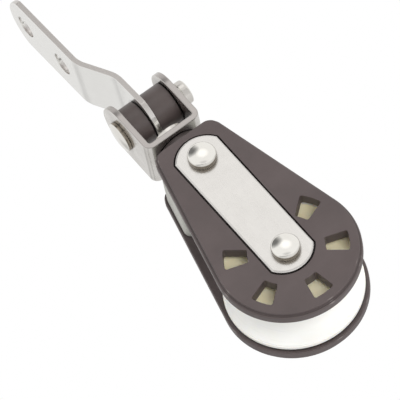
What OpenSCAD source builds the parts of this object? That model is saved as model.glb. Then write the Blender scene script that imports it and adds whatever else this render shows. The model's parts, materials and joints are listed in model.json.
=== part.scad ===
// Single sheave block with a swivelling clevis and a bolt-on tang.
// Millimetres. Origin at the centre of the sheave. The sheave turns about Y,
// the front cheek faces -Y, and +Z runs up through the swivel to the tang.

/* [Sheave] */
// Outside diameter of the sheave
sheave_d = 47.5; // [46:0.5:48]
// Width of the sheave across its rims
sheave_w = 19.6; // [18:0.1:19.8]
// Width of the sheave hub, close to both cheeks
hub_w = 20.4; // [20:0.1:20.5]
// Diameter of the raised hub
hub_d = 20; // [16:0.5:24]
// Outside diameter of the sunk ring in each side of the sheave
web_d = 43.6; // [40:0.2:44]
// Depth of the sunk ring in each side of the sheave
web_in = 1.2; // [0.4:0.1:1.4]
// Diameter at the bottom of the rope groove
groove_d = 37; // [35:0.5:39]
// Radius of the rope groove
groove_r = 8.5; // [8:0.1:8.8]
// Outside diameter of the tube the sheave runs on
axle_tube_d = 12; // [10:0.5:14]
// Running clearance on the radius of the sheave bore
bore_gap = 0.06; // [0.03:0.01:0.1]

/* [Cheeks] */
// Width across the outer faces of the two cheeks
block_w = 30; // [29.8:0.1:32]
// Thickness of each cheek
cheek_t = 4.6; // [4.2:0.1:4.7]
// Radius of the round lower end of the cheeks
cheek_r = 25; // [24.5:0.1:27]
// Half width of the cheeks at the flat top
top_half = 13.3; // [12.5:0.1:14.5]
// Height of the flat top above the sheave centre
top_z = 58.2; // [57:0.1:60]
// Radius of the two top corners
corner_r = 5; // [4:0.1:6]
// Step in from the rim to the flat face
rim_step = 0.9; // [0.5:0.1:1.2]
// Depth of the raised face in front of the rim
rim_drop = 1.6; // [1.5:0.1:2.2]
// Distance between the axle and the upper rivet
rivet_pitch = 46; // [45.5:0.1:46.4]
// Inner radius of the windows
window_r1 = 13; // [12:0.1:14]
// Outer radius of the windows
window_r2 = 21; // [19:0.1:22]
// Half angle of each window
window_half = 10.4; // [8:0.1:13]

/* [Side straps] */
// Width of the side straps
strap_w = 17.4; // [15:0.1:18.5]
// Thickness of the side straps
strap_t = 2; // [1.8:0.1:2.4]
// Radius of the strap ends
strap_r = 10.2; // [9.5:0.1:11]
// Distance the end radius is centred in from each rivet
strap_in = 1.7; // [1:0.1:2]
// Depth of the recess that holds the strap
recess_z = 1.4; // [1:0.1:1.6]
// Gap all round the strap in its recess
recess_gap = 0.5; // [0.4:0.1:1.2]

/* [Rivets] */
// Diameter of the two rivet shanks
rivet_d = 6; // [5:0.1:6.4]
// Diameter of the rivet heads
rivet_head_d = 9.8; // [9:0.1:11]
// Straight edge of the rivet heads
rivet_edge = 2.2; // [1.5:0.1:2.5]
// Rise of the domed top of the rivet heads
rivet_rise = 1; // [0.6:0.1:1.5]
// Clearance on the radius of every fixed hole
fix_gap = 0.05; // [0.03:0.01:0.08]

/* [Head and swivel] */
// Height of the lower face of the head insert above the sheave centre
insert_low = 37.5; // [36:0.1:39]
// Radius of the lower corners of the head insert
insert_corner = 3; // [2:0.1:3.5]
// Radius of the boss under the swivel washer
boss_r = 6.6; // [6:0.1:7.5]
// Height of the boss above the cheeks
boss_h = 1.5; // [1:0.1:3]
// Radius of the swivel washer
washer_r = 8.6; // [8:0.1:10.6]
// Thickness of the swivel washer
washer_t = 2.6; // [1:0.1:3]
// Diameter of the swivel post
post_d = 8; // [7:0.1:8.4]
// Diameter of the domed head of the swivel post
post_head_d = 15.2; // [14:0.1:15.2]
// Straight edge of the swivel post head
post_edge = 3; // [2:0.1:3.1]
// Rise of the low dome on top of the swivel post
post_rise = 0.6; // [0.4:0.1:0.6]
// Diameter of the retaining collar under the head insert
retainer_d = 13; // [12:0.1:14]
// Thickness of the retaining collar
retainer_t = 2.4; // [2:0.1:2.6]
// Running clearance on the radius of the swivel post
swivel_gap = 0.08; // [0.04:0.01:0.1]

/* [Clevis] */
// Outside half width of the clevis across its ears
clevis_half = 11.2; // [11:0.1:12]
// Thickness of the clevis strip
clevis_t = 2.2; // [2:0.1:2.4]
// Half width of the clevis strip
clevis_strip = 10.7; // [10:0.1:11.5]
// Outside radius of the two bends
clevis_bend = 3; // [2.6:0.1:3.4]
// Height of the clevis pin above the underside of the clevis
pin_h = 16.8; // [16.7:0.1:18]
// Diameter of the clevis pin
pin_d = 6; // [5.6:0.1:6.4]
// Diameter of the clevis pin head
pin_head_d = 11.2; // [10:0.1:12]
// Straight edge of the clevis pin head
pin_edge = 1.3; // [1:0.1:2]
// Rise of the domed face of the clevis pin head
pin_rise = 0.7; // [0.4:0.1:1.2]
// Diameter of the collar on the end of the pin
collar_d = 8.8; // [8:0.1:10]
// Length of the collar on the end of the pin
collar_l = 4.8; // [3.5:0.1:5.5]
// Diameter of the two round spacers
spacer_d = 15.6; // [14:0.1:16.5]
// Running clearance on the radius around the pin
pin_gap = 0.08; // [0.04:0.01:0.1]
// End play at each face between the ears
end_gap = 0.15; // [0.1:0.01:0.2]

/* [Tang] */
// Tilt of the tang about the clevis pin
tang_tilt = 7; // [0:1:20]
// Thickness of the tang
tang_t = 2; // [1.8:0.1:2.2]
// Width of the tang
tang_w = 22; // [20:0.1:22.4]
// Distance the foot of the tang sits off centre, towards the pin head
tang_shift = 1.2; // [0:0.1:1.6]
// Distance the tang steps sideways
tang_step = 6.6; // [4:0.1:9]
// Distance from the pin to the start of the step
step_start = 14; // [13:0.1:16]
// Distance from the pin to the end of the step
step_end = 28; // [26:0.1:30]
// Radius of the two bends at the middle of the strip
bend_r = 12; // [4:0.5:13]
// Distance from the pin to the first mounting hole
hole_one = 39.4; // [38:0.1:42]
// Distance between the two mounting holes
hole_pitch = 22; // [20:0.1:26]
// Diameter of the mounting holes
hole_d = 8.4; // [6:0.1:9]
// Distance from each end hole to the end of the tang
tang_end = 9; // [8.5:0.1:9]
// Radius of the two tang ends
tang_end_r = 12; // [11.5:0.1:13]

/* [Hidden] */
$fn = 96;
face_y = block_w / 2;
inner_y = face_y - cheek_t;
rim_y = face_y - rim_drop;
seat_y = face_y - recess_z;
strap_y = seat_y + strap_t;
rivet_r = rivet_d / 2;
corner_x = top_half - corner_r;
corner_z = top_z - corner_r;
corner_len = sqrt(corner_x * corner_x + corner_z * corner_z);
side_turn = atan2(corner_z, corner_x) - acos((cheek_r - corner_r) / corner_len);
window_turns = [-90, -30, 30, 150, 210];
reach = 80;
tube_gap = 0.1;
pin_r = pin_d / 2;
post_r = post_d / 2;
boss_top = top_z + boss_h;
washer_gap = 0.1;
washer_z = boss_top + washer_gap;
clevis_z = washer_z + washer_t + washer_gap;
pin_z = clevis_z + pin_h;
ear_inner = clevis_half - clevis_t;
base_top = clevis_z + clevis_t;
ledge_z = top_z - 5.4;
retainer_z = ledge_z - 0.12 - retainer_t;
slot_low = retainer_z - 0.3;
slot_half = retainer_d / 2 + 0.4;
post_low = retainer_z;
insert_inset = 0.9;
insert_play = 0.05;
step_turn = atan2(tang_step, step_end - step_start);
bend_n = 10;
bend_set = bend_r * tan(step_turn / 2);
tang_top = hole_one + hole_pitch + tang_end;

// Slab of a flat outline drawn in X and Z, from y0 towards +Y
module slab(y0, t) {
  translate([0, y0 + t, 0])
    rotate([90, 0, 0])
      linear_extrude(t)
        children();
}

// Round bar along Y from y0 to y1
module bar_y(r, y0, y1) {
  translate([0, y1, 0])
    rotate([90, 0, 0])
      cylinder(h = y1 - y0, r = r);
}

// Round bar along X from x0 to x1
module bar_x(r, x0, x1) {
  translate([x0, 0, 0])
    rotate([0, 90, 0])
      cylinder(h = x1 - x0, r = r);
}

// Low domed head standing on z = 0
module domed(r, edge, rise) {
  dome_r = (r * r + rise * rise) / (2 * rise);
  rotate_extrude()
    intersection() {
      translate([0, edge + rise - dome_r])
        circle(dome_r, $fn = 192);
      square([r, edge + rise]);
    }
}

// Outline of a cheek, moved in by inset all round
module cheek_outline(inset) {
  r = cheek_r - inset;
  c = corner_r - inset;
  nx = cos(side_turn);
  nz = sin(side_turn);
  circle(r, $fn = 192);
  polygon([[r * nx, r * nz],
           [corner_x + c * nx, corner_z + c * nz],
           [corner_x, corner_z + c],
           [-corner_x, corner_z + c],
           [-corner_x - c * nx, corner_z + c * nz],
           [-r * nx, r * nz]]);
  for (s = [-1, 1])
    translate([s * corner_x, corner_z])
      circle(c);
}

// Outline of a side strap, grown by grow all round
module strap_outline(grow) {
  half = strap_w / 2 + grow;
  low = strap_in;
  high = rivet_pitch - strap_in;
  intersection() {
    translate([-half, -reach])
      square([2 * half, 2 * reach]);
    union() {
      translate([0, low])
        circle(strap_r + grow);
      translate([0, high])
        circle(strap_r + grow);
      translate([-half, low])
        square([2 * half, high - low]);
    }
  }
}

// Wedge pointing out from the sheave centre
module wedge(turn, half) {
  polygon([[0, 0],
           [reach * cos(turn - half), reach * sin(turn - half)],
           [reach * cos(turn + half), reach * sin(turn + half)]]);
}

// The five windows of a cheek
module windows() {
  for (turn = window_turns)
    intersection() {
      difference() {
        circle(window_r2);
        circle(window_r1);
      }
      wedge(turn, window_half);
    }
}

module cheek() {
  color([0.36, 0.33, 0.33])
    difference() {
      union() {
        slab(-face_y, rim_drop + 0.5)
          cheek_outline(rim_step);
        slab(-rim_y, cheek_t - rim_drop)
          cheek_outline(0);
      }
      slab(-face_y - 1, 1 + recess_z)
        strap_outline(recess_gap);
      slab(-face_y - 1, cheek_t + 2)
        windows();
      bar_y(rivet_r + fix_gap, -face_y - 1, 0);
      translate([0, 0, rivet_pitch])
        bar_y(rivet_r + fix_gap, -face_y - 1, 0);
    }
}

module front_cheek() {
  cheek();
}

module rear_cheek() {
  mirror([0, 1, 0])
    cheek();
}

module strap() {
  color([0.8, 0.79, 0.77])
    difference() {
      slab(-strap_y, strap_t)
        strap_outline(0);
      bar_y(rivet_r + fix_gap, -strap_y - 1, 0);
      translate([0, 0, rivet_pitch])
        bar_y(rivet_r + fix_gap, -strap_y - 1, 0);
    }
}

module front_strap() {
  strap();
}

module rear_strap() {
  mirror([0, 1, 0])
    strap();
}

module rivet() {
  color([0.85, 0.84, 0.8]) {
    bar_y(rivet_r, -strap_y, strap_y);
    for (s = [0, 1])
      mirror([0, s, 0])
        translate([0, -strap_y, 0])
          rotate([90, 0, 0])
            domed(rivet_head_d / 2, rivet_edge, rivet_rise);
  }
}

module upper_rivet() {
  translate([0, 0, rivet_pitch])
    rivet();
}

module axle_rivet() {
  rivet();
}

module axle_tube() {
  tube_y = inner_y - tube_gap / 2;
  color([0.75, 0.74, 0.72])
    difference() {
      bar_y(axle_tube_d / 2, -tube_y, tube_y);
      bar_y(rivet_r + fix_gap, -face_y, face_y);
    }
}

module sheave() {
  color([0.93, 0.92, 0.88])
    rotate([90, 0, 0])
      rotate_extrude()
        difference() {
          union() {
            translate([0, -sheave_w / 2])
              square([sheave_d / 2, sheave_w]);
            translate([0, -hub_w / 2])
              square([hub_d / 2, hub_w]);
          }
          translate([0, -hub_w])
            square([axle_tube_d / 2 + bore_gap, 2 * hub_w]);
          for (y = [-sheave_w / 2 - 1, sheave_w / 2 - web_in])
            translate([hub_d / 2, y])
              square([(web_d - hub_d) / 2, web_in + 1]);
          translate([groove_d / 2 + groove_r, 0])
            circle(groove_r, $fn = 192);
        }
}

// Outline of the head insert: it follows the sides of the cheeks
module insert_outline() {
  c = corner_r - insert_inset;
  nx = cos(side_turn);
  nz = sin(side_turn);
  low_z = insert_low + insert_corner;
  low_x = (cheek_r - insert_inset - insert_corner - nz * low_z) / nx;
  polygon([[corner_x + c * nx, corner_z + c * nz],
           [corner_x, corner_z + c],
           [-corner_x, corner_z + c],
           [-corner_x - c * nx, corner_z + c * nz],
           [-low_x - insert_corner * nx, low_z + insert_corner * nz],
           [-low_x, insert_low],
           [low_x, insert_low],
           [low_x + insert_corner * nx, low_z + insert_corner * nz]]);
  for (s = [-1, 1]) {
    translate([s * corner_x, corner_z])
      circle(c);
    translate([s * low_x, low_z])
      circle(insert_corner);
  }
}

module head_insert() {
  color([0.66, 0.66, 0.62])
    difference() {
      union() {
        slab(-inner_y + insert_play, 2 * (inner_y - insert_play))
          insert_outline();
        translate([0, 0, corner_z])
          cylinder(h = boss_top - corner_z, r = boss_r);
      }
      translate([0, 0, ledge_z - 1])
        cylinder(h = reach, r = post_r + swivel_gap);
      translate([-slot_half, -face_y, slot_low])
        cube([2 * slot_half, 2 * face_y, ledge_z - slot_low]);
      translate([0, 0, rivet_pitch])
        bar_y(rivet_r + fix_gap, -face_y, face_y);
    }
}

module swivel_washer() {
  color([0.3, 0.3, 0.3])
    translate([0, 0, washer_z])
      difference() {
        cylinder(h = washer_t, r = washer_r);
        translate([0, 0, -1])
          cylinder(h = washer_t + 2, r = post_r + swivel_gap + 0.1);
      }
}

module swivel_post() {
  color([0.85, 0.84, 0.8]) {
    translate([0, 0, post_low])
      cylinder(h = base_top - post_low, r = post_r);
    translate([0, 0, base_top])
      domed(post_head_d / 2, post_edge, post_rise);
  }
}

module swivel_retainer() {
  color([0.75, 0.74, 0.72])
    translate([0, 0, retainer_z])
      difference() {
        cylinder(h = retainer_t, r = retainer_d / 2);
        translate([0, 0, -1])
          cylinder(h = retainer_t + 2, r = post_r + fix_gap);
      }
}

// Bent strip of the clevis seen along Y
module clevis_profile() {
  difference() {
    union() {
      translate([-clevis_half, clevis_z + clevis_bend])
        square([2 * clevis_half, reach]);
      translate([-clevis_half + clevis_bend, clevis_z])
        square([2 * (clevis_half - clevis_bend), clevis_bend]);
      for (s = [-1, 1])
        translate([s * (clevis_half - clevis_bend), clevis_z + clevis_bend])
          circle(clevis_bend);
    }
    translate([-ear_inner, base_top + clevis_bend - clevis_t])
      square([2 * ear_inner, reach]);
    translate([-ear_inner + clevis_bend - clevis_t, base_top])
      square([2 * (ear_inner - clevis_bend + clevis_t), reach]);
    for (s = [-1, 1])
      translate([s * (clevis_half - clevis_bend), clevis_z + clevis_bend])
        circle(clevis_bend - clevis_t);
  }
}

module clevis() {
  color([0.82, 0.81, 0.79])
    difference() {
      intersection() {
        slab(-clevis_strip, 2 * clevis_strip)
          clevis_profile();
        union() {
          translate([-clevis_half - 1, -clevis_strip, clevis_z - 1])
            cube([2 * clevis_half + 2, 2 * clevis_strip, pin_z - clevis_z + 1]);
          translate([0, 0, pin_z])
            bar_x(clevis_strip, -clevis_half - 1, clevis_half + 1);
        }
      }
      translate([0, 0, pin_z])
        bar_x(pin_r + fix_gap, -clevis_half - 1, clevis_half + 1);
      translate([0, 0, clevis_z - 1])
        cylinder(h = clevis_t + 2, r = post_r + fix_gap);
    }
}

module clevis_pin() {
  color([0.85, 0.84, 0.8])
    translate([0, 0, pin_z]) {
      bar_x(pin_r, -clevis_half, clevis_half + collar_l);
      translate([-clevis_half, 0, 0])
        rotate([0, -90, 0])
          domed(pin_head_d / 2, pin_edge, pin_rise);
    }
}

module pin_collar() {
  color([0.8, 0.79, 0.77])
    translate([0, 0, pin_z])
      difference() {
        bar_x(collar_d / 2, clevis_half, clevis_half + collar_l);
        bar_x(pin_r + fix_gap, clevis_half - 1, clevis_half + collar_l + 1);
      }
}

// Spacer tube on the clevis pin between x0 and x1
module spacer(x0, x1) {
  color([0.2, 0.18, 0.18])
    translate([0, 0, pin_z])
      difference() {
        bar_x(spacer_d / 2, x0, x1);
        bar_x(pin_r + pin_gap, x0 - 1, x1 + 1);
      }
}

module left_spacer() {
  spacer(-ear_inner + end_gap, -tang_shift - tang_t / 2 - end_gap);
}

module right_spacer() {
  spacer(-tang_shift + tang_t / 2 + end_gap, ear_inner - end_gap);
}

// Points along an arc about c, from a0 to a1
function arc(c, r, a0, a1) =
  [for (i = [0:bend_n]) let (a = a0 + (a1 - a0) * i / bend_n) c + r * [cos(a), sin(a)]];

// Edge view of the tang: X across its thickness, Y away from the pin
module tang_profile() {
  half = tang_t / 2;
  low = -tang_end - 1;
  high = tang_top + 1;
  near_c = [-bend_r, step_start - bend_set];
  far_c = [bend_r - tang_step, step_end + bend_set];
  far_a = 180 + step_turn;
  polygon(concat([[half, low]],
                 arc(near_c, bend_r + half, 0, step_turn),
                 arc(far_c, bend_r - half, far_a, 180),
                 [[half - tang_step, high], [-half - tang_step, high]],
                 arc(far_c, bend_r + half, 180, far_a),
                 arc(near_c, bend_r - half, step_turn, 0),
                 [[-half, low]]));
}

// Face view of the tang, drawn in its own width and length
module tang_face() {
  half = tang_w / 2;
  intersection() {
    translate([-half, -reach])
      square([tang_w, 3 * reach]);
    union() {
      translate([0, tang_end_r - tang_end])
        circle(tang_end_r, $fn = 192);
      translate([0, tang_top - tang_end_r])
        circle(tang_end_r, $fn = 192);
      translate([-half, tang_end_r - tang_end])
        square([tang_w, tang_top - 2 * tang_end_r + tang_end]);
    }
  }
}

module tang() {
  color([0.8, 0.79, 0.77])
    translate([0, 0, pin_z])
      rotate([-tang_tilt, 0, 0])
        difference() {
          intersection() {
            slab(-tang_w, 2 * tang_w)
              translate([-tang_shift, 0])
                tang_profile();
            translate([-reach / 2, 0, 0])
              rotate([90, 0, 90])
                linear_extrude(reach)
                  tang_face();
          }
          bar_x(pin_r + pin_gap, -reach, reach);
          for (d = [hole_one, hole_one + hole_pitch])
            translate([0, 0, d])
              bar_x(hole_d / 2, -reach, reach);
        }
}

tang();
clevis();
clevis_pin();
pin_collar();
left_spacer();
right_spacer();
swivel_post();
swivel_washer();
swivel_retainer();
head_insert();
front_cheek();
rear_cheek();
front_strap();
rear_strap();
upper_rivet();
axle_rivet();
axle_tube();
sheave();
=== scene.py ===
"""Looks of the single sheave block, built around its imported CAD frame.

The scene is in metres. The helpers that make meshes take millimetres.
"""
import json
import math

import bmesh
import bpy
from mathutils import Matrix, Quaternion, Vector


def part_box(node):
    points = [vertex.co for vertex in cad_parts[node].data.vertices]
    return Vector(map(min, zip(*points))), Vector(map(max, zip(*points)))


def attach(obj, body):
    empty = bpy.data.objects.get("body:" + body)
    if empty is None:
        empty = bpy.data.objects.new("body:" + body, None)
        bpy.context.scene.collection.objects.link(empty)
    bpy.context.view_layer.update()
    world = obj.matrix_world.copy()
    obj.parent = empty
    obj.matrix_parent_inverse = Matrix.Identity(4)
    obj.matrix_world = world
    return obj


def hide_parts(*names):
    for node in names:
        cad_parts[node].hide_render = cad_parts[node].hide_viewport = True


MM = 0.001
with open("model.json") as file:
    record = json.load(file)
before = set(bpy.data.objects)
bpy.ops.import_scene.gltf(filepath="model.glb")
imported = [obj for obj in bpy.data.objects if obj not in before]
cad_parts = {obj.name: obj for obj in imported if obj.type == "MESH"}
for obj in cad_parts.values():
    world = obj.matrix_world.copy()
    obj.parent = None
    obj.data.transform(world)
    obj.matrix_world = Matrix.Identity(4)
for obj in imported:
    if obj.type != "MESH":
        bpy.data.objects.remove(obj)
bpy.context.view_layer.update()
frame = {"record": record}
scene = bpy.context.scene


def span(node):
    """Lowest and highest corner of a CAD node, in millimetres."""
    low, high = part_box(node)
    return low / MM, high / MM


# ---------------------------------------------------------------- sizes read from the frame
cheek_low, cheek_high = span("front_cheek")
strap_low, strap_high = span("front_strap")
axle_high = span("axle_rivet")[1]
upper_low, upper_high = span("upper_rivet")
sheave_high = span("sheave")[1]
tube_low, tube_high = span("axle_tube")
insert_low, insert_high = span("head_insert")
clevis_low, clevis_high = span("clevis")
pin_low, pin_high = span("clevis_pin")
collar_low, collar_high = span("pin_collar")
post_low, post_high = span("swivel_post")
washer_low, washer_high = span("swivel_washer")
ring_low, ring_high = span("swivel_retainer")
left_low, left_high = span("left_spacer")
right_low, right_high = span("right_spacer")

CHEEK_R = cheek_high.x
TOP_HALF = 13.3
CORNER_R = 5.0
CORNER_X = TOP_HALF - CORNER_R
CORNER_Z = cheek_high.z - CORNER_R
CORNER_LEN = math.hypot(CORNER_X, CORNER_Z)
SIDE_TURN = math.degrees(
    math.atan2(CORNER_Z, CORNER_X) - math.acos((CHEEK_R - CORNER_R) / CORNER_LEN)
)
FACE_Y = cheek_low.y
INNER_Y = cheek_high.y
RIM_STEP = 0.9
RIM_DROP = 1.6
RIM_Y = FACE_Y + RIM_DROP
RIVET_Z = (upper_low.z + upper_high.z) / 2
STRAP_HALF = strap_high.x
STRAP_R = 10.2
STRAP_IN = 1.7
SEAT_Y = strap_high.y
RECESS_GAP = 0.5
WINDOW_R = (13.0, 21.0)
WINDOW_HALF = 10.4
WINDOW_CORNER = 0.7
WINDOW_TURNS = (-90, -30, 30, 150, 210)

# The rivets and the clevis pin share one shank size.
SHANK_R = 3.0
POST_R = 4.0
# Radial play of fixed holes, of turning holes and of the loose thrust washer.
FIXED_PLAY = 0.05
TURNING_PLAY = 0.08
WASHER_PLAY = 0.18
FIXED_HOLE_R = SHANK_R + FIXED_PLAY
TURNING_HOLE_R = SHANK_R + TURNING_PLAY
PIN_Z = (pin_low.z + pin_high.z) / 2
TILT = math.radians(7)


# ---------------------------------------------------------------- mesh helpers
def arc(cx, cz, r, start, stop, count):
    """Points on an arc, angles in degrees, both ends included."""
    found = []
    for i in range(count + 1):
        a = math.radians(start + (stop - start) * i / count)
        found.append((cx + r * math.cos(a), cz + r * math.sin(a)))
    return found


def line(a, b, count):
    """Points between a and b, without the ends."""
    return [
        (a[0] + (b[0] - a[0]) * i / count, a[1] + (b[1] - a[1]) * i / count)
        for i in range(1, count)
    ]


def rounded(a, b, bulge, count=5):
    """Quarter round from a to b. bulge 0 leaves a along the second number, 1 along the first."""
    found = []
    for i in range(count + 1):
        t = math.pi / 2 * i / count
        s, c = math.sin(t), 1 - math.cos(t)
        u, v = (c, s) if bulge == 0 else (s, c)
        found.append((a[0] + (b[0] - a[0]) * u, a[1] + (b[1] - a[1]) * v))
    return found


class Shell:
    """A closed mesh made of rings of points in X and Z, joined by walls and flat caps."""

    def __init__(self):
        self.bm = bmesh.new()

    def ring(self, points, y):
        return [self.bm.verts.new((x * MM, y * MM, z * MM)) for x, z in points]

    def wall(self, a, b):
        n = len(a)
        for i in range(n):
            j = (i + 1) % n
            self.bm.faces.new((a[i], a[j], b[j], b[i]))

    def sweep(self, outline, steps):
        """Walls through (inset, y) steps of an outline; returns the first and last ring."""
        rings = [self.ring(outline(inset), y) for inset, y in steps]
        for a, b in zip(rings, rings[1:]):
            self.wall(a, b)
        return rings[0], rings[-1]

    def cap(self, *rings):
        edges = []
        for r in rings:
            edges += [self.bm.edges.get((r[i], r[i - 1])) for i in range(len(r))]
        bmesh.ops.triangle_fill(self.bm, edges=edges, use_beauty=True, normal=(0, 1, 0))

    def done(self, name, mirror=False):
        if mirror:
            bmesh.ops.scale(self.bm, vec=(1, -1, 1), verts=self.bm.verts)
        return finish_mesh(self.bm, name)


def finish_mesh(bm, name):
    """Turns a built mesh into an object in the scene, with its faces turned outward."""
    bmesh.ops.recalc_face_normals(bm, faces=bm.faces)
    mesh = bpy.data.meshes.new(name)
    bm.to_mesh(mesh)
    bm.free()
    obj = bpy.data.objects.new(name, mesh)
    scene.collection.objects.link(obj)
    return obj


# A face is broad above this area and when it is this many times its neighbour.
FLAT_AREA = 12 * MM * MM
MUCH_LARGER = 4
# Cosines of the angles below which faces are level, and above which they meet at an edge.
LEVEL = 0.99999
BENT = 0.9986


def keep_flats_flat(mesh):
    """Marks the rim of every broad flat face sharp, so that rounding never bends its shading."""
    bm = bmesh.new()
    bm.from_mesh(mesh)
    region, areas = {}, []
    for first in bm.faces:
        if first in region:
            continue
        region[first] = len(areas)
        area, queue = 0.0, [first]
        while queue:
            face = queue.pop()
            area += face.calc_area()
            for edge in face.edges:
                for other in edge.link_faces:
                    if other not in region and other.normal.dot(face.normal) > LEVEL:
                        region[other] = len(areas)
                        queue.append(other)
        areas.append(area)
    for edge in bm.edges:
        if len(edge.link_faces) != 2:
            continue
        a, b = edge.link_faces
        small, big = sorted((areas[region[a]], areas[region[b]]))
        broad = big > FLAT_AREA and big > MUCH_LARGER * small
        if broad and a.normal.dot(b.normal) < BENT:
            edge.smooth = False
    bm.to_mesh(mesh)
    bm.free()


def smooth(obj, angle=32):
    """Smooth shading with sharp edges above an angle, and shading that follows the large faces."""
    obj.data.shade_smooth()
    obj.data.set_sharp_from_angle(angle=math.radians(angle))
    keep_flats_flat(obj.data)
    mod = obj.modifiers.new("weighted", "WEIGHTED_NORMAL")
    mod.keep_sharp = True
    mod.weight = 60
    return obj


ON_AXIS = 1e-6


def turned(name, profile, axis, at=(0, 0, 0), count=128):
    """Solid of revolution. profile is (radius, height) in mm; axis is X, Y or Z through at."""
    bm = bmesh.new()
    rings = []
    for r, h in profile:
        if r < ON_AXIS:
            rings.append([bm.verts.new((0, 0, h * MM))])
            continue
        ring = []
        for i in range(count):
            a = 2 * math.pi * i / count
            ring.append(bm.verts.new((r * MM * math.cos(a), r * MM * math.sin(a), h * MM)))
        rings.append(ring)
    closed = profile[0][0] > ON_AXIS
    pairs = list(zip(rings, rings[1:])) + ([(rings[-1], rings[0])] if closed else [])
    for a, b in pairs:
        for i in range(count):
            j = (i + 1) % count
            if len(a) == 1:
                bm.faces.new((a[0], b[i], b[j]))
            elif len(b) == 1:
                bm.faces.new((a[i], a[j], b[0]))
            else:
                bm.faces.new((a[i], a[j], b[j], b[i]))
    turn = {
        "X": Matrix.Rotation(math.pi / 2, 4, "Y"),
        "Y": Matrix.Rotation(-math.pi / 2, 4, "X"),
        "Z": Matrix.Identity(4),
    }[axis]
    place = Matrix.Translation(Vector(at) * MM) @ turn
    bmesh.ops.transform(bm, matrix=place, verts=bm.verts)
    return smooth(finish_mesh(bm, name))


def tube_profile(r0, r1, h0, h1, edge, bore_edge=0.15):
    """Profile of a tube with rounded outer edges and broken bore edges."""
    found = rounded((r1, h0 + edge), (r1 - edge, h0), 0)[::-1]
    found += rounded((r1, h1 - edge), (r1 - edge, h1), 0)
    found += [(r0 + bore_edge, h1), (r0, h1 - bore_edge)]
    found += [(r0, h0 + bore_edge), (r0 + bore_edge, h0)]
    return found


def dome_profile(r, base, edge, rise, round_r, count=14):
    """Half profile of a domed head that stands on base, from its axis out and down.
    rise is the height of the dome over its edge, and round_r the rounding where they meet."""
    dome_r = (r * r + rise * rise) / (2 * rise)
    top = base + edge + rise
    inner = r - round_r
    found = []
    for i in range(count + 1):
        x = inner * i / count
        found.append((x, top - dome_r + math.sqrt(dome_r * dome_r - x * x)))
    start = found.pop()
    slope = math.asin(inner / dome_r)
    fall = start[1] - (base + edge - round_r / 4)
    steps = 6
    for i in range(steps + 1):
        t = slope + (math.pi / 2 - slope) * i / steps
        u = (math.sin(t) - math.sin(slope)) / (1 - math.sin(slope))
        v = (math.cos(slope) - math.cos(t)) / math.cos(slope)
        found.append((start[0] + round_r * u, start[1] - fall * v))
    return found


def prism(name, outline, axis, start, stop):
    """Straight prism of a flat outline. Along Y the outline is in X, Z; along X it is in Y, Z."""
    bm = bmesh.new()
    ends = []
    for h in (start, stop):
        if axis == "Y":
            ends.append([bm.verts.new((a * MM, h * MM, b * MM)) for a, b in outline])
        else:
            ends.append([bm.verts.new((h * MM, a * MM, b * MM)) for a, b in outline])
    n = len(outline)
    for i in range(n):
        j = (i + 1) % n
        bm.faces.new((ends[0][i], ends[0][j], ends[1][j], ends[1][i]))
    bm.faces.new(ends[0])
    bm.faces.new(ends[1])
    return finish_mesh(bm, name)


def bar(r, axis, at, length, count=96):
    """Plain round cutter centred on at."""
    bm = bmesh.new()
    bmesh.ops.create_cone(
        bm,
        cap_ends=True,
        segments=count,
        radius1=r * MM,
        radius2=r * MM,
        depth=length * MM,
    )
    turn = {"X": (0, math.pi / 2, 0), "Y": (math.pi / 2, 0, 0), "Z": (0, 0, 0)}[axis]
    m = Matrix.Translation(Vector(at) * MM)
    for k, a in zip("XYZ", turn):
        m = m @ Matrix.Rotation(a, 4, k)
    bmesh.ops.transform(bm, matrix=m, verts=bm.verts)
    return finish_mesh(bm, "cutter")


def settle(obj):
    """Applies every modifier to the mesh."""
    dg = bpy.context.evaluated_depsgraph_get()
    mesh = bpy.data.meshes.new_from_object(obj.evaluated_get(dg))
    obj.modifiers.clear()
    obj.data = mesh
    return obj


def carve(obj, tool, how="DIFFERENCE"):
    """Cuts a tool out of a mesh, or joins or crosses the two, and drops the tool."""
    mod = obj.modifiers.new("carve", "BOOLEAN")
    mod.operation = how
    mod.solver = "EXACT"
    mod.object = tool
    settle(obj)
    bpy.data.objects.remove(tool)
    return obj


def welded(obj):
    """Merges the points that cuts leave on top of each other and joins level faces."""
    bm = bmesh.new()
    bm.from_mesh(obj.data)
    bmesh.ops.remove_doubles(bm, verts=bm.verts, dist=0.002 * MM)
    bmesh.ops.dissolve_degenerate(bm, edges=bm.edges, dist=0.001 * MM)
    bmesh.ops.dissolve_limit(
        bm, angle_limit=math.radians(0.5), verts=bm.verts, edges=bm.edges
    )
    bm.to_mesh(obj.data)
    bm.free()
    return obj


def broken_edges(obj, width, segments=3, angle=38):
    """Rounds the sharp edges of a mesh by width mm."""
    welded(obj)
    mod = obj.modifiers.new("edges", "BEVEL")
    mod.width = width * MM
    mod.segments = segments
    mod.limit_method = "ANGLE"
    mod.angle_limit = math.radians(angle)
    mod.use_clamp_overlap = False
    mod.miter_outer = "MITER_ARC"
    settle(obj)
    return smooth(obj)


# ---------------------------------------------------------------- outlines
SIDE_NORMAL = (math.cos(math.radians(SIDE_TURN)), math.sin(math.radians(SIDE_TURN)))


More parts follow.
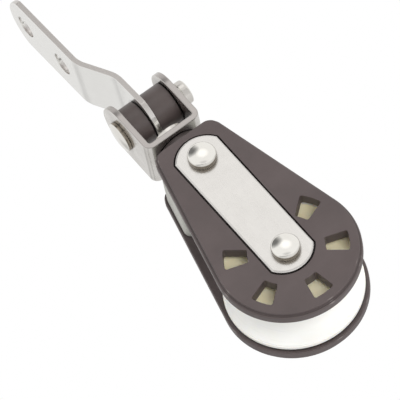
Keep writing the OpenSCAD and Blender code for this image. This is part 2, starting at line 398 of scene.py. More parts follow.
def cheek_outline(inset):
    """Teardrop outline in X and Z, moved in by inset."""
    c, r, n = CORNER_R - inset, CHEEK_R - inset, SIDE_NORMAL
    top = (CORNER_X + c * n[0], CORNER_Z + c * n[1])
    foot = (r * n[0], r * n[1])
    found = arc(0, 0, r, SIDE_TURN, -180 - SIDE_TURN, 128)
    found += line((-foot[0], foot[1]), (-top[0], top[1]), 12)
    found += arc(-CORNER_X, CORNER_Z, c, 180 - SIDE_TURN, 90, 14)
    found += line((-CORNER_X, CORNER_Z + c), (CORNER_X, CORNER_Z + c), 6)
    found += arc(CORNER_X, CORNER_Z, c, 90, SIDE_TURN, 14)
    found += line(top, foot, 12)
    return found


INSERT_INSET = 0.9
INSERT_CORNER = 3.0


def insert_outline(inset):
    """Outline of the head insert: the sides of the cheek, cut off level above the sheave."""
    edge = INSERT_INSET + inset
    c, n = CORNER_R - edge, SIDE_NORMAL
    r = INSERT_CORNER - inset
    low_z = insert_low.z + INSERT_CORNER
    low_x = (CHEEK_R - edge - r - n[1] * low_z) / n[0]
    top = (CORNER_X + c * n[0], CORNER_Z + c * n[1])
    foot = (low_x + r * n[0], low_z + r * n[1])
    found = arc(low_x, low_z, r, SIDE_TURN, -90, 12)
    found += line((low_x, low_z - r), (-low_x, low_z - r), 10)
    found += arc(-low_x, low_z, r, -90, -180 - SIDE_TURN, 12)
    found += line((-foot[0], foot[1]), (-top[0], top[1]), 8)
    found += arc(-CORNER_X, CORNER_Z, c, 180 - SIDE_TURN, 90, 12)
    found += line((-CORNER_X, CORNER_Z + c), (CORNER_X, CORNER_Z + c), 6)
    found += arc(CORNER_X, CORNER_Z, c, 90, SIDE_TURN, 12)
    found += line(top, foot, 8)
    return found


def strap_outline(inset):
    """Outline of a side strap, moved in by inset (a negative inset grows it)."""
    half, r = STRAP_HALF - inset, STRAP_R - inset
    low, high = STRAP_IN, RIVET_Z - STRAP_IN
    turn = math.degrees(math.acos(half / r))
    rise = r * math.sin(math.radians(turn))
    found = arc(0, low, r, -turn, -180 + turn, 40)
    found += line((-half, low - rise), (-half, high + rise), 16)
    found += arc(0, high, r, 180 - turn, turn, 40)
    found += line((half, high + rise), (half, low - rise), 16)
    return found


def window_outline(turn, inset):
    """Outline of one window with rounded corners; a negative inset grows it."""
    corner = WINDOW_CORNER
    r0, r1 = WINDOW_R
    g = corner - inset
    found = []

    def centre(radius, side):
        a = WINDOW_HALF - math.degrees(math.asin(corner / radius))
        a = math.radians(turn + side * a)
        return radius * math.cos(a), radius * math.sin(a), math.degrees(a)

    ox, oz, oa = centre(r1 - corner, 1)
    px, pz, pa = centre(r1 - corner, -1)
    qx, qz, qa = centre(r0 + corner, -1)
    sx, sz, sa = centre(r0 + corner, 1)
    found += arc(ox, oz, g, turn + WINDOW_HALF + 90, oa, 6)
    found += arc(0, 0, r1 - inset, oa, pa, 16)[1:-1]
    found += arc(px, pz, g, pa, turn - WINDOW_HALF - 90, 6)
    found += arc(qx, qz, g, turn - WINDOW_HALF - 90, qa - 180, 6)
    found += arc(0, 0, r0 + inset, qa, sa, 10)[1:-1]
    found += arc(sx, sz, g, sa + 180, turn + WINDOW_HALF + 90, 6)
    return found


def circle_outline(r, cz):
    """Outline of a round hole at height cz; a positive inset grows it."""
    return lambda inset: arc(0, cz, r + inset, 0, 360, 48)[:-1]


# ---------------------------------------------------------------- moulded cheeks and straps
# Roundings, from the softest to the crispest.
STRAP_ROUND = 0.7
RIM_ROUND = 0.5
FACE_ROUND = 0.3
WINDOW_ROUND = 0.22
FLOOR_ROUND = 0.2
BREAK = 0.15
LIP_ROUND = 0.12


def cheek(name, mirror):
    """Cheek with a stepped rim, five windows, the strap's recess and two rivet holes."""
    shell = Shell()
    steps = rounded((0, INNER_Y - FACE_ROUND), (FACE_ROUND, INNER_Y), 0)[::-1]
    steps += rounded((0, RIM_Y + RIM_ROUND), (RIM_ROUND, RIM_Y), 0)
    steps += rounded((RIM_STEP - WINDOW_ROUND, RIM_Y), (RIM_STEP, RIM_Y - WINDOW_ROUND), 1, 3)
    steps += rounded((RIM_STEP, FACE_Y + FACE_ROUND), (RIM_STEP + FACE_ROUND, FACE_Y), 0)
    back, front = shell.sweep(cheek_outline, steps)
    fronts, backs = [front], [back]
    for turn in WINDOW_TURNS:
        steps = rounded((-WINDOW_ROUND, FACE_Y), (0, FACE_Y + WINDOW_ROUND), 1, 4)
        steps += [(0, INNER_Y - BREAK), (-BREAK, INNER_Y)]
        near, far = shell.sweep(lambda inset, t=turn: window_outline(t, inset), steps)
        fronts.append(near)
        backs.append(far)
    wall = -RECESS_GAP
    steps = rounded((wall - LIP_ROUND, FACE_Y), (wall, FACE_Y + LIP_ROUND), 1, 3)
    steps += rounded((wall, SEAT_Y - FLOOR_ROUND), (wall + FLOOR_ROUND, SEAT_Y), 0, 3)
    near, seat = shell.sweep(strap_outline, steps)
    fronts.append(near)
    floors = [seat]
    for z in (0.0, RIVET_Z):
        near, far = shell.sweep(circle_outline(FIXED_HOLE_R, z), [(0, SEAT_Y), (0, INNER_Y)])
        floors.append(near)
        backs.append(far)
    shell.cap(*fronts)
    shell.cap(*floors)
    shell.cap(*backs)
    return smooth(shell.done(name, mirror))


def strap(name, mirror):
    """Side strap with rounded ends and a soft front edge, holed for the two rivets."""
    shell = Shell()
    seat, face = strap_high.y, strap_low.y
    steps = rounded((0, seat - FLOOR_ROUND), (FLOOR_ROUND, seat), 0, 3)[::-1]
    steps += rounded((0, face + STRAP_ROUND), (STRAP_ROUND, face), 0, 6)
    back, front = shell.sweep(strap_outline, steps)
    fronts, backs = [front], [back]
    for z in (0.0, RIVET_Z):
        near, far = shell.sweep(circle_outline(FIXED_HOLE_R, z), [(0, face), (0, seat)])
        fronts.append(near)
        backs.append(far)
    shell.cap(*fronts)
    shell.cap(*backs)
    return smooth(shell.done(name, mirror))


RIVET_RISE = 1.0
RIVET_ROUND = 1.1


def rivet(name, z):
    """Rivet with a low domed head at each end."""
    r = axle_high.x
    base = strap_high.y - strap_low.y - SEAT_Y
    edge = axle_high.y - base - RIVET_RISE
    half = dome_profile(r, base, edge, RIVET_RISE, RIVET_ROUND)
    half += rounded((r, base + 0.25), (r - 0.25, base), 0, 3)
    half += [(SHANK_R, base)]
    profile = half + [(a, -b) for a, b in reversed(half)]
    return turned(name, profile, "Y", (0, 0, z))


# ---------------------------------------------------------------- sheave and axle tube
RIM_HALF_W = 9.8
GROOVE_R = 8.5
GROOVE_FLOOR = 18.5
GROOVE_STEPS = 20
SHEAVE_ROUND = 0.5
LIP_WIDTH = 0.45  # of the rounded lip between the groove and the rim
WEB_R = 21.8
WEB_IN = 1.2
HUB_R = 10.0
BORE_BREAK = 0.3
TUBE_PLAY = 0.06


def sheave():
    """Grooved wheel with a sunk ring in each side and a raised hub.
    One half of the profile is drawn, and the other half mirrors it."""
    r, w = sheave_high.x, RIM_HALF_W
    centre = GROOVE_FLOOR + GROOVE_R
    edge = math.asin((centre - r + LIP_WIDTH) / GROOVE_R)
    half = []
    for i in range(GROOVE_STEPS + 1):
        a = (math.pi / 2 - edge) * i / GROOVE_STEPS
        half.append((centre - GROOVE_R * math.cos(a), GROOVE_R * math.sin(a)))
    lip_x, lip_y = half[-1]
    half += rounded((lip_x + 0.05, lip_y + 0.05), (r, lip_y + SHEAVE_ROUND), 0, 5)
    half += rounded((r, w - SHEAVE_ROUND), (r - SHEAVE_ROUND, w), 0, 5)
    web_y, hub_w = w - WEB_IN, sheave_high.y
    half += rounded((WEB_R + 0.2, w), (WEB_R, w - 0.2), 1, 3)
    half += rounded((WEB_R, web_y + 0.3), (WEB_R - 0.3, web_y), 0, 4)
    half += rounded((HUB_R + 0.3, web_y), (HUB_R, web_y + 0.3), 1, 4)
    half += rounded((HUB_R, hub_w - BREAK), (HUB_R - BREAK, hub_w), 0, 3)
    bore = tube_high.x + TUBE_PLAY
    half += [(bore + BORE_BREAK, hub_w), (bore, hub_w - BORE_BREAK)]
    profile = half + [(a, -b) for a, b in reversed(half[1:])]
    return turned("sheave_wheel", profile, "Y", count=192)


# ---------------------------------------------------------------- head insert
BOSS_R = 6.6
BOSS_SIDES = 96
INSERT_ROUND = 0.25
# Play between the retaining collar and its slot: at the sides, below and above.
SLOT_SIDE, SLOT_BELOW, SLOT_ABOVE = 0.4, 0.3, 0.12


def head_insert():
    """Moulding between the cheeks, with the swivel boss, the post's bore and the slot."""
    shell = Shell()
    y0, y1 = insert_low.y, insert_high.y
    steps = rounded((0, y0 + INSERT_ROUND), (INSERT_ROUND, y0), 0, 3)[::-1]
    steps += rounded((0, y1 - INSERT_ROUND), (INSERT_ROUND, y1), 0, 3)
    back, front = shell.sweep(insert_outline, steps)
    shell.cap(front)
    shell.cap(back)
    body = shell.done("head_insert_moulding")
    top = insert_high.z
    profile = [(0, top), (BOSS_R - 0.3, top)]
    profile += rounded((BOSS_R - 0.3, top), (BOSS_R, top - 0.3), 1, 3)[1:]
    profile += [(BOSS_R, CORNER_Z), (0, CORNER_Z)]
    boss = settle(turned("boss", profile, "Z", count=BOSS_SIDES))
    # Half a step of turn keeps the boss's points off the middle lines of the insert.
    boss.data.transform(Matrix.Rotation(math.pi / BOSS_SIDES, 4, "Z"))
    carve(body, boss, "UNION")
    carve(body, bar(POST_R + TURNING_PLAY, "Z", (0, 0, top), 2 * (top - ring_low.z)))
    half = ring_high.x + SLOT_SIDE
    low = ring_low.z - SLOT_BELOW
    high = ring_high.z + SLOT_ABOVE
    slot = [(-half, low), (half, low), (half, high), (-half, high)]
    carve(body, prism("slot", slot, "Y", -20, 20))
    carve(body, bar(FIXED_HOLE_R, "Y", (0, 0, RIVET_Z), 40))
    return smooth(welded(body))


# ---------------------------------------------------------------- clevis, pin, post and washers
CLEVIS_T = 2.2
BEND = 3.0
CLEVIS_EDGE = 0.32
PIN_RISE = 0.7
POST_RISE = 0.6


def clevis():
    """Strip bent into a U, with round-ended ears and holes for the pin and the post."""
    half, z = clevis_high.x, clevis_low.z
    inner = half - CLEVIS_T
    top = clevis_high.z + 4
    bend_in = BEND - CLEVIS_T
    cx, cz = half - BEND, z + BEND
    outline = [(-half, top)]
    outline += arc(-cx, cz, BEND, 180, 270, 14)
    outline += arc(cx, cz, BEND, 270, 360, 14)
    outline += [(half, top), (inner, top)]
    outline += arc(cx, cz, bend_in, 360, 270, 8)
    outline += arc(-cx, cz, bend_in, 270, 180, 8)
    outline += [(-inner, top)]
    body = prism("clevis_strip", outline, "Y", clevis_low.y, clevis_high.y)
    strip = clevis_high.y
    face = [(-strip, z - 5), (strip, z - 5)] + arc(0, PIN_Z, strip, 0, 180, 72)
    carve(body, prism("ear", face, "X", -half - 5, half + 5), "INTERSECT")
    carve(body, bar(FIXED_HOLE_R, "X", (0, 0, PIN_Z), 4 * half))
    carve(body, bar(POST_R + FIXED_PLAY, "Z", (0, 0, z), 4 * CLEVIS_T))
    return broken_edges(body, CLEVIS_EDGE)


def clevis_pin():
    """Pin with a low domed head outside the left ear and a rounded tail in the collar."""
    ear = clevis_high.x
    r = (pin_high.z - pin_low.z) / 2
    head = dome_profile(r, ear, -pin_low.x - ear - PIN_RISE, PIN_RISE, 0.7)
    head += rounded((r, ear + 0.2), (r - 0.2, ear), 0, 3) + [(SHANK_R, ear)]
    profile = [(a, -b) for a, b in head]
    tail = pin_high.x
    profile += rounded((SHANK_R, tail - 0.5), (SHANK_R - 0.6, tail), 0, 4)
    profile += [(0, tail)]
    return turned("clevis_pin_turned", profile, "X", (0, 0, PIN_Z))


def pin_collar():
    """Pressed collar with a shallow groove round it, set against the right ear."""
    r, x0, x1 = collar_high.y, collar_low.x, collar_high.x
    profile = rounded((r - 0.25, x0), (r, x0 + 0.25), 1, 3)
    profile += [(r, x0 + 1.3), (r - 0.35, x0 + 1.6), (r - 0.35, x0 + 1.8), (r, x0 + 2.1)]
    profile += rounded((r, x1 - 0.9), (r - 0.9, x1), 0, 6)
    profile += [(SHANK_R + 0.35, x1), (FIXED_HOLE_R, x1 - 0.3), (FIXED_HOLE_R, x0)]
    return turned("pin_collar_pressed", profile, "X", (0, 0, PIN_Z))


def spacer(name, low, high):
    """Loose nylon tube on the clevis pin."""
    profile = tube_profile(TURNING_HOLE_R, high.y, low.x, high.x, 0.35)
    return turned(name, profile, "X", (0, 0, PIN_Z))


def swivel_post():
    """Post with a domed head on the clevis's base and a rounded lower end."""
    r, base = post_high.x, clevis_low.z + CLEVIS_T
    edge = post_high.z - base - POST_RISE
    profile = dome_profile(r, base, edge, POST_RISE, 1.0)
    profile += rounded((r, base + 0.2), (r - 0.2, base), 0, 3) + [(POST_R, base)]
    profile += rounded((POST_R, post_low.z + 0.4), (POST_R - 0.4, post_low.z), 0, 3)
    profile += [(0, post_low.z)]
    return turned("swivel_post_turned", profile, "Z")


# ---------------------------------------------------------------- tang
TANG_T = 2.0
TANG_HALF_W = 11.0
TANG_END_R = 12.0
TANG_FOOT = -9.0
TANG_EDGE = 0.22
MOUNT_HOLE_R = 4.2
FOOT_X = (left_high.x + right_low.x) / 2
STEP = (14.0, 28.0)
BEND_R = 12.0
MOUNTS = {m["name"]: Vector(m["pos_m"]) / MM for m in frame["record"]["mounts"]}
HOLES = [MOUNTS[n] for n in ("lower_tang_hole", "upper_tang_hole")]
STEP_X = FOOT_X - HOLES[0].x


def tang():
    """Built straight up from the pin in its own frame, then leaned over with the CAD tang."""
    half, turn = TANG_T / 2, math.atan2(STEP_X, STEP[1] - STEP[0])
    set_back = BEND_R * math.tan(turn / 2)
    deg = math.degrees(turn)
    near = (-BEND_R, STEP[0] - set_back)
    far = (BEND_R - STEP_X, STEP[1] + set_back)
    low, high = -20, 90  # past both ends of the finished strip
    outline = [(half, low)] + arc(*near, BEND_R + half, 0, deg, 24)
    outline += arc(*far, BEND_R - half, 180 + deg, 180, 24)
    outline += [(half - STEP_X, high), (-half - STEP_X, high)]
    outline += arc(*far, BEND_R + half, 180, 180 + deg, 24)
    outline += arc(*near, BEND_R - half, deg, 0, 24) + [(-half, low)]
    outline = [(x + FOOT_X, z) for x, z in outline]
    width, end_r = TANG_HALF_W, TANG_END_R
    body = prism("tang_strip", outline, "Y", -width - 2, width + 2)
    turn = math.degrees(math.acos(width / end_r))
    face = arc(0, TANG_FOOT + end_r, end_r, -turn, -180 + turn, 48)
    reach = [math.hypot(h.y, h.z - PIN_Z) for h in HOLES]
    tip = reach[1] - TANG_FOOT
    face += arc(0, tip - end_r, end_r, 180 - turn, turn, 48)
    carve(body, prism("face", face, "X", -30, 30), "INTERSECT")
    carve(body, bar(TURNING_HOLE_R, "X", (0, 0, 0), 60))
    for d in reach:
        carve(body, bar(MOUNT_HOLE_R, "X", (0, 0, d), 60))
    broken_edges(body, TANG_EDGE)
    body.matrix_world = Matrix.Translation((0, 0, PIN_Z * MM)) @ Matrix.Rotation(-TILT, 4, "X")
    return body


# ---------------------------------------------------------------- materials
def nodes_of(name):
    """A new node material, its tree and its shader."""
    mat = bpy.data.materials.new(name)
    mat.use_nodes = True
    tree = mat.node_tree
    shader = tree.nodes["Principled BSDF"]
    return mat, tree, shader


def coords(tree, scale, turn=(0, 0, 0)):
    """Object coordinates, scaled and turned."""
    tex = tree.nodes.new("ShaderNodeTexCoord")
    mapping = tree.nodes.new("ShaderNodeMapping")
    mapping.inputs["Scale"].default_value = scale
    mapping.inputs["Rotation"].default_value = turn
    tree.links.new(tex.outputs["Object"], mapping.inputs["Vector"])
    return mapping.outputs["Vector"]


def noise_of(tree, vector, scale, detail, rough):
    n = tree.nodes.new("ShaderNodeTexNoise")
    n.inputs["Scale"].default_value = scale
    n.inputs["Detail"].default_value = detail
    n.inputs["Roughness"].default_value = rough
    tree.links.new(vector, n.inputs["Vector"])
    return n.outputs["Fac"]


def spread(tree, value, low, high, start=0.3, stop=0.7):
    """Maps a value from start..stop to low..high, held at both ends."""
    m = tree.nodes.new("ShaderNodeMapRange")
    m.inputs["From Min"].default_value = start
    m.inputs["From Max"].default_value = stop
    m.inputs["To Min"].default_value = low
    m.inputs["To Max"].default_value = high
    tree.links.new(value, m.inputs["Value"])
    return m.outputs["Result"]


def blend_colour(tree, factor, a, b):
    """Mix of two colours, each a tone or a socket: a at factor 0 and b at 1."""
    m = tree.nodes.new("ShaderNodeMix")
    m.data_type = "RGBA"
    tree.links.new(factor, m.inputs[0])
    for socket, value in ((m.inputs[6], a), (m.inputs[7], b)):
        if hasattr(value, "is_linked"):
            tree.links.new(value, socket)
        else:
            socket.default_value = (*value, 1)
    return m.outputs[2]


def bumped(tree, height, strength, distance, after=None):
    """Bump from a height, laid over an earlier bump if there is one."""
    b = tree.nodes.new("ShaderNodeBump")
    b.inputs["Strength"].default_value = strength
    b.inputs["Distance"].default_value = distance
    tree.links.new(height, b.inputs["Height"])
    if after is not None:
        tree.links.new(after, b.inputs["Normal"])
    return b.outputs["Normal"]


def crevice(tree, distance):
    """1 on open surfaces, falling to 0 in corners and gaps."""
    ao = tree.nodes.new("ShaderNodeAmbientOcclusion")
    ao.inputs["Distance"].default_value = distance
    ao.samples = 6
    return ao.outputs["AO"]


def side_facing(tree, axis):
    """1 on faces that look along an axis of the piece's own frame, 0 on the others."""
    tex = tree.nodes.new("ShaderNodeTexCoord")
    parts = tree.nodes.new("ShaderNodeSeparateXYZ")
    tree.links.new(tex.outputs["Normal"], parts.inputs[0])
    side = tree.nodes.new("ShaderNodeMath")
    side.operation = "ABSOLUTE"
    tree.links.new(parts.outputs[axis], side.inputs[0])
    return side.outputs[0]


def steel(
    name,
    colour,
    dull,
    rough,
    grain,
    grain_depth=0.25,
    stain=0.5,
    sheared=None,
    painted_side_tone=None,
    corner=(0.0015, 0.45),
):
    """Stainless steel with grain stretched along one axis, faint smears and fine scratches.
    colour and dull are the clean and the stained tone, and stain is the share of dull.
    sheared is the tone of cut edges, the faces that look along Y. The next argument is an axis and
    the tone painted on the sides turned round it: painted shade where it is darker than colour, a
    painted highlight where it is lighter. corner is the reach and tone of painted shade in corners
    and gaps."""
    mat, tree, shader = nodes_of(name)
    fine = noise_of(tree, coords(tree, grain), 1.0, 3.0, 0.6)
    cloud = noise_of(tree, coords(tree, (1, 1, 1)), 95.0, 5.0, 0.6)
    smear = noise_of(tree, coords(tree, (1, 1, 1), (0.4, 0.2, 0.7)), 420.0, 4.0, 0.6)
    tone = blend_colour(tree, spread(tree, cloud, 0, stain), colour, dull)
    # Painted shade: where the occlusion finds corners, gaps and undersides, the tone turns to the
    # dark corner tone.
    clear_of_painted_shade = spread(tree, crevice(tree, corner[0]), 0, 1, 0.25, 0.85)
    tone = blend_colour(tree, clear_of_painted_shade, tuple(corner[1] * c for c in dull), tone)
    # The sides turned round the axis take a tone of their own: painted shade when it is darker, a
    # painted highlight when it is lighter.
    if painted_side_tone is not None:
        cap = spread(tree, side_facing(tree, painted_side_tone[0]), 0, 1, 0.2, 0.92)
        tone = blend_colour(tree, cap, painted_side_tone[1], tone)
    if sheared is not None:
        cut = spread(tree, side_facing(tree, "Y"), 0, 1, 0.45, 0.9)
        tone = blend_colour(tree, cut, tone, sheared)
    tree.links.new(tone, shader.inputs["Base Color"])
    shader.inputs["Metallic"].default_value = 1.0
    mixed = tree.nodes.new("ShaderNodeMath")
    mixed.operation = "ADD"
    tree.links.new(spread(tree, fine, rough[0] / 2, rough[1] / 2), mixed.inputs[0])
    tree.links.new(spread(tree, smear, rough[0] / 2, rough[1] / 2), mixed.inputs[1])
    tree.links.new(mixed.outputs[0], shader.inputs["Roughness"])
    scratch = tree.nodes.new("ShaderNodeTexWave")
    scratch.inputs["Scale"].default_value = 260.0
    scratch.inputs["Distortion"].default_value = 38.0
    scratch.inputs["Detail"].default_value = 2.0
    scratch.inputs["Detail Scale"].default_value = 0.6
    tree.links.new(coords(tree, (1, 1, 1), (0.9, 0.3, 0.5)), scratch.inputs["Vector"])
    marks = spread(tree, scratch.outputs["Fac"], 0, 1, 0.93, 1.0)
    normal = bumped(tree, fine, grain_depth, 0.00003)
    normal = bumped(tree, marks, 0.12, 0.00002, normal)
    tree.links.new(normal, shader.inputs["Normal"])
    return mat


def polished(name, axis, wall=(0.30, 0.265, 0.22)):
    """Bright turned steel, whose sides turned round an axis are painted darker as shade, in the
    wall tone.
    """
    return steel(
        name, (0.93, 0.92, 0.88), (0.86, 0.84, 0.79), (0.03, 0.11), (900, 900, 900), 0.06, 0.7,
        painted_side_tone=(axis, wall), corner=(0.002, 0.3)
    )


def moulded(name, colour, shade, rough, grain=5200.0, depth=0.35, edge=None):
    """Moulded plastic: fine spark texture, slow flow marks, corners and gaps darkened as painted
    shade.
    edge is the tone of a painted highlight along rounded edges, which the flat outer faces don't
    take."""
    mat, tree, shader = nodes_of(name)
    plain = coords(tree, (1, 1, 1))
    cloud = noise_of(tree, plain, 60.0, 5.0, 0.6)
    flow = noise_of(tree, coords(tree, (40, 40, 220), (0, 0.5, 0)), 1.0, 3.0, 0.5)
    pits = noise_of(tree, plain, grain, 2.0, 0.7)
    tone = blend_colour(tree, spread(tree, cloud, 0, 1), colour, shade)
    if edge is not None:
        # Painted highlight: rounded edges, found by their pointiness, turn towards the edge tone.
        geometry = tree.nodes.new("ShaderNodeNewGeometry")
        pointy_share = spread(tree, geometry.outputs["Pointiness"], 0, 0.6, 0.52, 0.62)
        on_edge = spread(tree, side_facing(tree, "Y"), 1, 0, 0.97, 0.999)
        painted_edge_highlight = tree.nodes.new("ShaderNodeMath")
        painted_edge_highlight.operation = "MULTIPLY"
        tree.links.new(pointy_share, painted_edge_highlight.inputs[0])
        tree.links.new(on_edge, painted_edge_highlight.inputs[1])
        tone = blend_colour(tree, painted_edge_highlight.outputs[0], tone, edge)
    # Painted shade: corners, gaps and recesses darken towards 0.35 of the shade tone.
    clear_of_painted_shade = spread(tree, crevice(tree, 0.0012), 0, 1, 0.3, 0.85)
    tone = blend_colour(tree, clear_of_painted_shade, tuple(0.35 * c for c in shade), tone)
    tree.links.new(tone, shader.inputs["Base Color"])
    tree.links.new(spread(tree, flow, rough[0], rough[1]), shader.inputs["Roughness"])
    normal = bumped(tree, pits, depth, 0.00004)
    normal = bumped(tree, cloud, 0.15, 0.0002, normal)
    tree.links.new(normal, shader.inputs["Normal"])
    return mat


def acetal():
    """White acetal: white in the groove, cream on its side faces, with fine turning rings."""
    mat, tree, shader = nodes_of("white_acetal")
    plain = coords(tree, (1, 1, 1))
    cloud = noise_of(tree, plain, 70.0, 4.0, 0.6)
    white = blend_colour(tree, spread(tree, cloud, 0, 1), (0.82, 0.82, 0.80), (0.78, 0.78, 0.755))
    cream = blend_colour(tree, spread(tree, cloud, 0, 1), (0.98, 0.90, 0.66), (0.94, 0.84, 0.54))
    side = spread(tree, side_facing(tree, "Y"), 0, 1, 0.96, 0.998)
    tone = blend_colour(tree, side, white, cream)
    tree.links.new(tone, shader.inputs["Base Color"])
    rings = noise_of(tree, coords(tree, (60, 5200, 60)), 1.0, 3.0, 0.6)
    tree.links.new(spread(tree, rings, 0.24, 0.42), shader.inputs["Roughness"])
    shader.inputs["Subsurface Weight"].default_value = 0.15
    shader.inputs["Subsurface Radius"].default_value = (1.0, 0.8, 0.5)
    shader.inputs["Subsurface Scale"].default_value = 0.0015
    normal = bumped(tree, rings, 0.2, 0.00003)
    tree.links.new(normal, shader.inputs["Normal"])
    return mat


MATERIALS = {
    "steel_tang": steel(
        "stainless_tang", (0.94, 0.94, 0.92), (0.87, 0.865, 0.845), (0.18, 0.27), (3600, 3600, 90),
        sheared=(0.62, 0.59, 0.57)
    ),
    # The clevis's corner tone is deep and reaches 5 mm: painted shade on the underside of the base
    # and in the corners of the U.
    "steel_clevis": steel(
        "stainless_clevis", (0.80, 0.785, 0.76), (0.62, 0.60, 0.57), (0.15, 0.26),
        (120, 4200, 4200), stain=1.0, sheared=(0.44, 0.415, 0.40), corner=(0.005, 0.18)
    ),
    # The strap's sides and rounded edges take a lighter tone than its face, a painted highlight;
    # its corner tone is a light painted shade along the recess.
    "steel_strap": steel(
        "stainless_strap", (0.72, 0.705, 0.68), (0.66, 0.645, 0.62), (0.22, 0.30),
        (3000, 2200, 110), 0.1, painted_side_tone=("Y", (0.93, 0.92, 0.90)), corner=(0.0008, 0.6)
    ),
    # Turned parts: their sides take painted shade, dark on the rivets and the pin, lighter on the
    # post and the collar.
    "steel_rivet": polished("stainless_rivet", "Y"),
    "steel_pin": polished("stainless_pin", "X"),
    "steel_post": polished("stainless_post", "Z", (0.72, 0.70, 0.66)),
    "steel_collar": polished("stainless_collar", "X", (0.66, 0.64, 0.61)),
    "steel_tube": steel(
        "stainless_ground", (0.74, 0.73, 0.71), (0.64, 0.63, 0.61), (0.2, 0.36), (2600, 300, 2600)
    ),
    # The cheeks' edge tone is a painted highlight along their rounded edges.
    "dark_nylon": moulded(
        "dark_nylon", (0.088, 0.068, 0.067), (0.072, 0.056, 0.055), (0.40, 0.58),
        edge=(0.24, 0.215, 0.205)
    ),
    "spacer_nylon": moulded(
        "spacer_nylon", (0.092, 0.072, 0.069), (0.066, 0.052, 0.049), (0.27, 0.42), 2600.0, 0.25
    ),
    "grey_insert": moulded(
        "grey_insert", (0.46, 0.46, 0.42), (0.40, 0.40, 0.37), (0.4, 0.55), 4200.0, 0.3
    ),
    "white_acetal": acetal(),
}


def place(obj, nodes, body, slot, look=None):
    """Gives a finished piece its material, hides the CAD nodes it stands for and sets it on the
    body it rides on.
    """
    obj.data.materials.clear()
    obj.data.materials.append(MATERIALS[look or slot])
    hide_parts(*nodes)
    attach(obj, body)


# ---------------------------------------------------------------- the pieces
place(cheek("front_cheek_moulding", False), ["front_cheek"], "block", "dark_nylon")
place(cheek("rear_cheek_moulding", True), ["rear_cheek"], "block", "dark_nylon")
place(strap("front_side_strap", False), ["front_strap"], "block", "steel_strap")
place(strap("rear_side_strap", True), ["rear_strap"], "block", "steel_strap")
place(rivet("axle_rivet_turned", 0.0), ["axle_rivet"], "block", "steel_pin", "steel_rivet")
place(
    rivet("upper_rivet_turned", RIVET_Z), ["upper_rivet"], "block", "steel_pin", "steel_rivet"
)
place(sheave(), ["sheave"], "sheave", "white_acetal")
tube = tube_profile(FIXED_HOLE_R, tube_high.x, tube_low.y, tube_high.y, 0.3)
place(turned("axle_tube_ground", tube, "Y"), ["axle_tube"], "block", "steel_tube")
place(head_insert(), ["head_insert"], "block", "grey_insert")
ring = tube_profile(POST_R + WASHER_PLAY, washer_high.x, washer_low.z, washer_high.z, 0.2)
place(turned("swivel_washer_ring", ring, "Z"), ["swivel_washer"], "block", "spacer_nylon")
ring = tube_profile(POST_R + FIXED_PLAY, ring_high.x, ring_low.z, ring_high.z, 0.3)
place(turned("swivel_retainer_ring", ring, "Z"), ["swivel_retainer"], "clevis", "steel_tube")
place(swivel_post(), ["swivel_post"], "clevis", "steel_pin", "steel_post")
place(clevis(), ["clevis"], "clevis", "steel_clevis")
place(clevis_pin(), ["clevis_pin"], "clevis", "steel_pin")
place(pin_collar(), ["pin_collar"], "clevis", "steel_pin", "steel_collar")
place(
    spacer("left_spacer_tube", left_low, left_high), ["left_spacer"], "left_spacer", "spacer_nylon"
)
place(
    spacer("right_spacer_tube", right_low, right_high),
    ["right_spacer"],
    "right_spacer",
    "spacer_nylon",
)
place(tang(), ["tang"], "tang", "steel_tang")

# ---------------------------------------------------------------- camera
AIM = Vector((-10.4, -15.7, 33.4)) * MM
AZIMUTH, ELEVATION, ROLL = (math.radians(a) for a in (-14.59, -28.09, 42.31))
DISTANCE = 2.034
SENSOR, LENS = 36.0, 556.1
back = Vector(
    (
        math.sin(AZIMUTH) * math.cos(ELEVATION),
        -math.cos(AZIMUTH) * math.cos(ELEVATION),
        math.sin(ELEVATION),
    )
)
camera = bpy.data.objects.new("camera", bpy.data.cameras.new("camera"))
scene.collection.objects.link(camera)
camera.data.sensor_width = SENSOR
camera.data.lens = LENS
camera.data.clip_start, camera.data.clip_end = 0.05, 100.0
camera.location = AIM + back * DISTANCE
camera.rotation_mode = "QUATERNION"
camera.rotation_quaternion = (-back).to_track_quat("-Z", "Y") @ Quaternion((0, 0, 1), -ROLL)
scene.camera = camera
right = camera.rotation_quaternion @ Vector((1, 0, 0))
up = camera.rotation_quaternion @ Vector((0, 1, 0))

# ---------------------------------------------------------------- floor, light and world
CENTRE = Vector((0, 0, 0.05))


def card(name, size, at, facing, mat):
    """Flat square facing a point."""
    bm = bmesh.new()
    bmesh.ops.create_grid(bm, x_segments=4, y_segments=4, size=size / 2)
    obj = finish_mesh(bm, name)
    obj.rotation_mode = "QUATERNION"
    obj.rotation_quaternion = (facing - at).to_track_quat("Z", "Y")
    obj.location = at
    obj.data.materials.append(mat)
    return obj


def pale(name, colour, rough):
    """Matt surface with a faint slow change of tone."""
    mat, tree, shader = nodes_of(name)
    tone = noise_of(tree, coords(tree, (1, 1, 1)), 0.8, 3.0, 0.5)
    edge = tuple(c * 0.97 for c in colour)
    tree.links.new(
        blend_colour(tree, spread(tree, tone, 0, 1), colour, edge), shader.inputs["Base Color"]
    )
    shader.inputs["Roughness"].default_value = rough
    return mat


FLOOR_SIZE, FLOOR_Z = 16.0, -1.2
card(
    "floor",
    FLOOR_SIZE,
    Vector((0, 0, FLOOR_Z)),
    Vector((0, 0, 5)),
    pale("pale_floor", (0.9,) * 3, 0.8),
)


def lamp(name, way, far, size, watts):
    """Square soft light that faces the object from far metres along way."""
    data = bpy.data.lights.new(name, "AREA")
    data.shape = "SQUARE"
    data.size = size
    data.energy = watts
    obj = bpy.data.objects.new(name, data)
    scene.collection.objects.link(obj)
    obj.location = CENTRE + way.normalized() * far
    obj.rotation_mode = "QUATERNION"
    obj.rotation_quaternion = (CENTRE - obj.location).to_track_quat("-Z", "Y")
    obj.visible_camera = False
    obj.visible_glossy = False


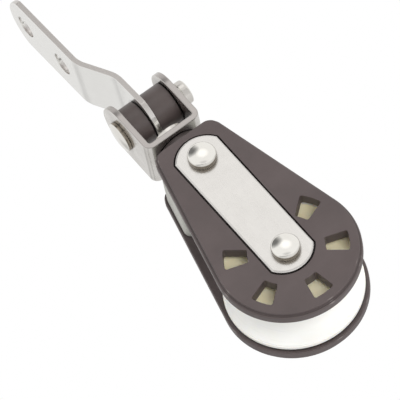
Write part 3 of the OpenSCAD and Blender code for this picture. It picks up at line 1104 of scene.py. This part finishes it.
lamp("key", -0.8 * right + 0.45 * up + 0.35 * back, 1.0, 0.8, 2.2)
lamp("top", 0.25 * right + 1.0 * up - 0.3 * back, 1.1, 0.7, 2.0)
lamp("front", 0.35 * right + 0.1 * up + 1.0 * back, 1.3, 0.6, 7.5)
lamp("fill", 1.0 * right - 0.25 * up + 0.35 * back, 1.2, 0.8, 2.2)

world = bpy.data.worlds.new("studio")
world.use_nodes = True
scene.world = world
tree = world.node_tree
output = tree.nodes["World Output"]
ambient = tree.nodes["Background"]
backdrop = tree.nodes.new("ShaderNodeBackground")
backdrop.inputs["Color"].default_value = (1, 1, 1, 1)
backdrop.inputs["Strength"].default_value = 1.0
tex = tree.nodes.new("ShaderNodeTexCoord")


def toward(way, near, far, low, high):
    """Value that runs from low to high as a direction turns from far to near degrees of way."""
    dot = tree.nodes.new("ShaderNodeVectorMath")
    dot.operation = "DOT_PRODUCT"
    dot.inputs[1].default_value = way.normalized()
    tree.links.new(tex.outputs["Generated"], dot.inputs[0])
    start, stop = (math.cos(math.radians(a)) for a in (far, near))
    return spread(tree, dot.outputs["Value"], low, high, start, stop)


# The steel mirrors this room: a pale sky, with zones in it that are darker or brighter.
sky = toward(0.8 * up - 0.2 * right + 0.3 * back, 50, 180, 0.76, 0.92)
for zone in (
    toward(1.0 * back - 0.1 * up, 18, 42, 1.0, 0.08),
    toward(Vector((-0.02, -0.58, 0.81)), 6, 20, 1.0, 0.20),
    toward(Vector((0.25, -0.86, 0.44)), 8, 18, 1.0, 1.3),
    toward(Vector((-0.37, 0.865, 0.31)), 4, 10, 1.0, 0.66),
    toward(Vector((-0.48, 0.855, -0.16)), 4, 9, 1.0, 0.4),
):
    product = tree.nodes.new("ShaderNodeMath")
    product.operation = "MULTIPLY"
    tree.links.new(sky, product.inputs[0])
    tree.links.new(zone, product.inputs[1])
    sky = product.outputs[0]
tree.links.new(sky, ambient.inputs["Strength"])
ambient.inputs["Color"].default_value = (1.0, 0.99, 0.98, 1)
path = tree.nodes.new("ShaderNodeLightPath")
mix = tree.nodes.new("ShaderNodeMixShader")
tree.links.new(path.outputs["Is Camera Ray"], mix.inputs[0])
tree.links.new(ambient.outputs[0], mix.inputs[1])
tree.links.new(backdrop.outputs[0], mix.inputs[2])
tree.links.new(mix.outputs[0], output.inputs["Surface"])
scene.view_settings.view_transform = "Standard"
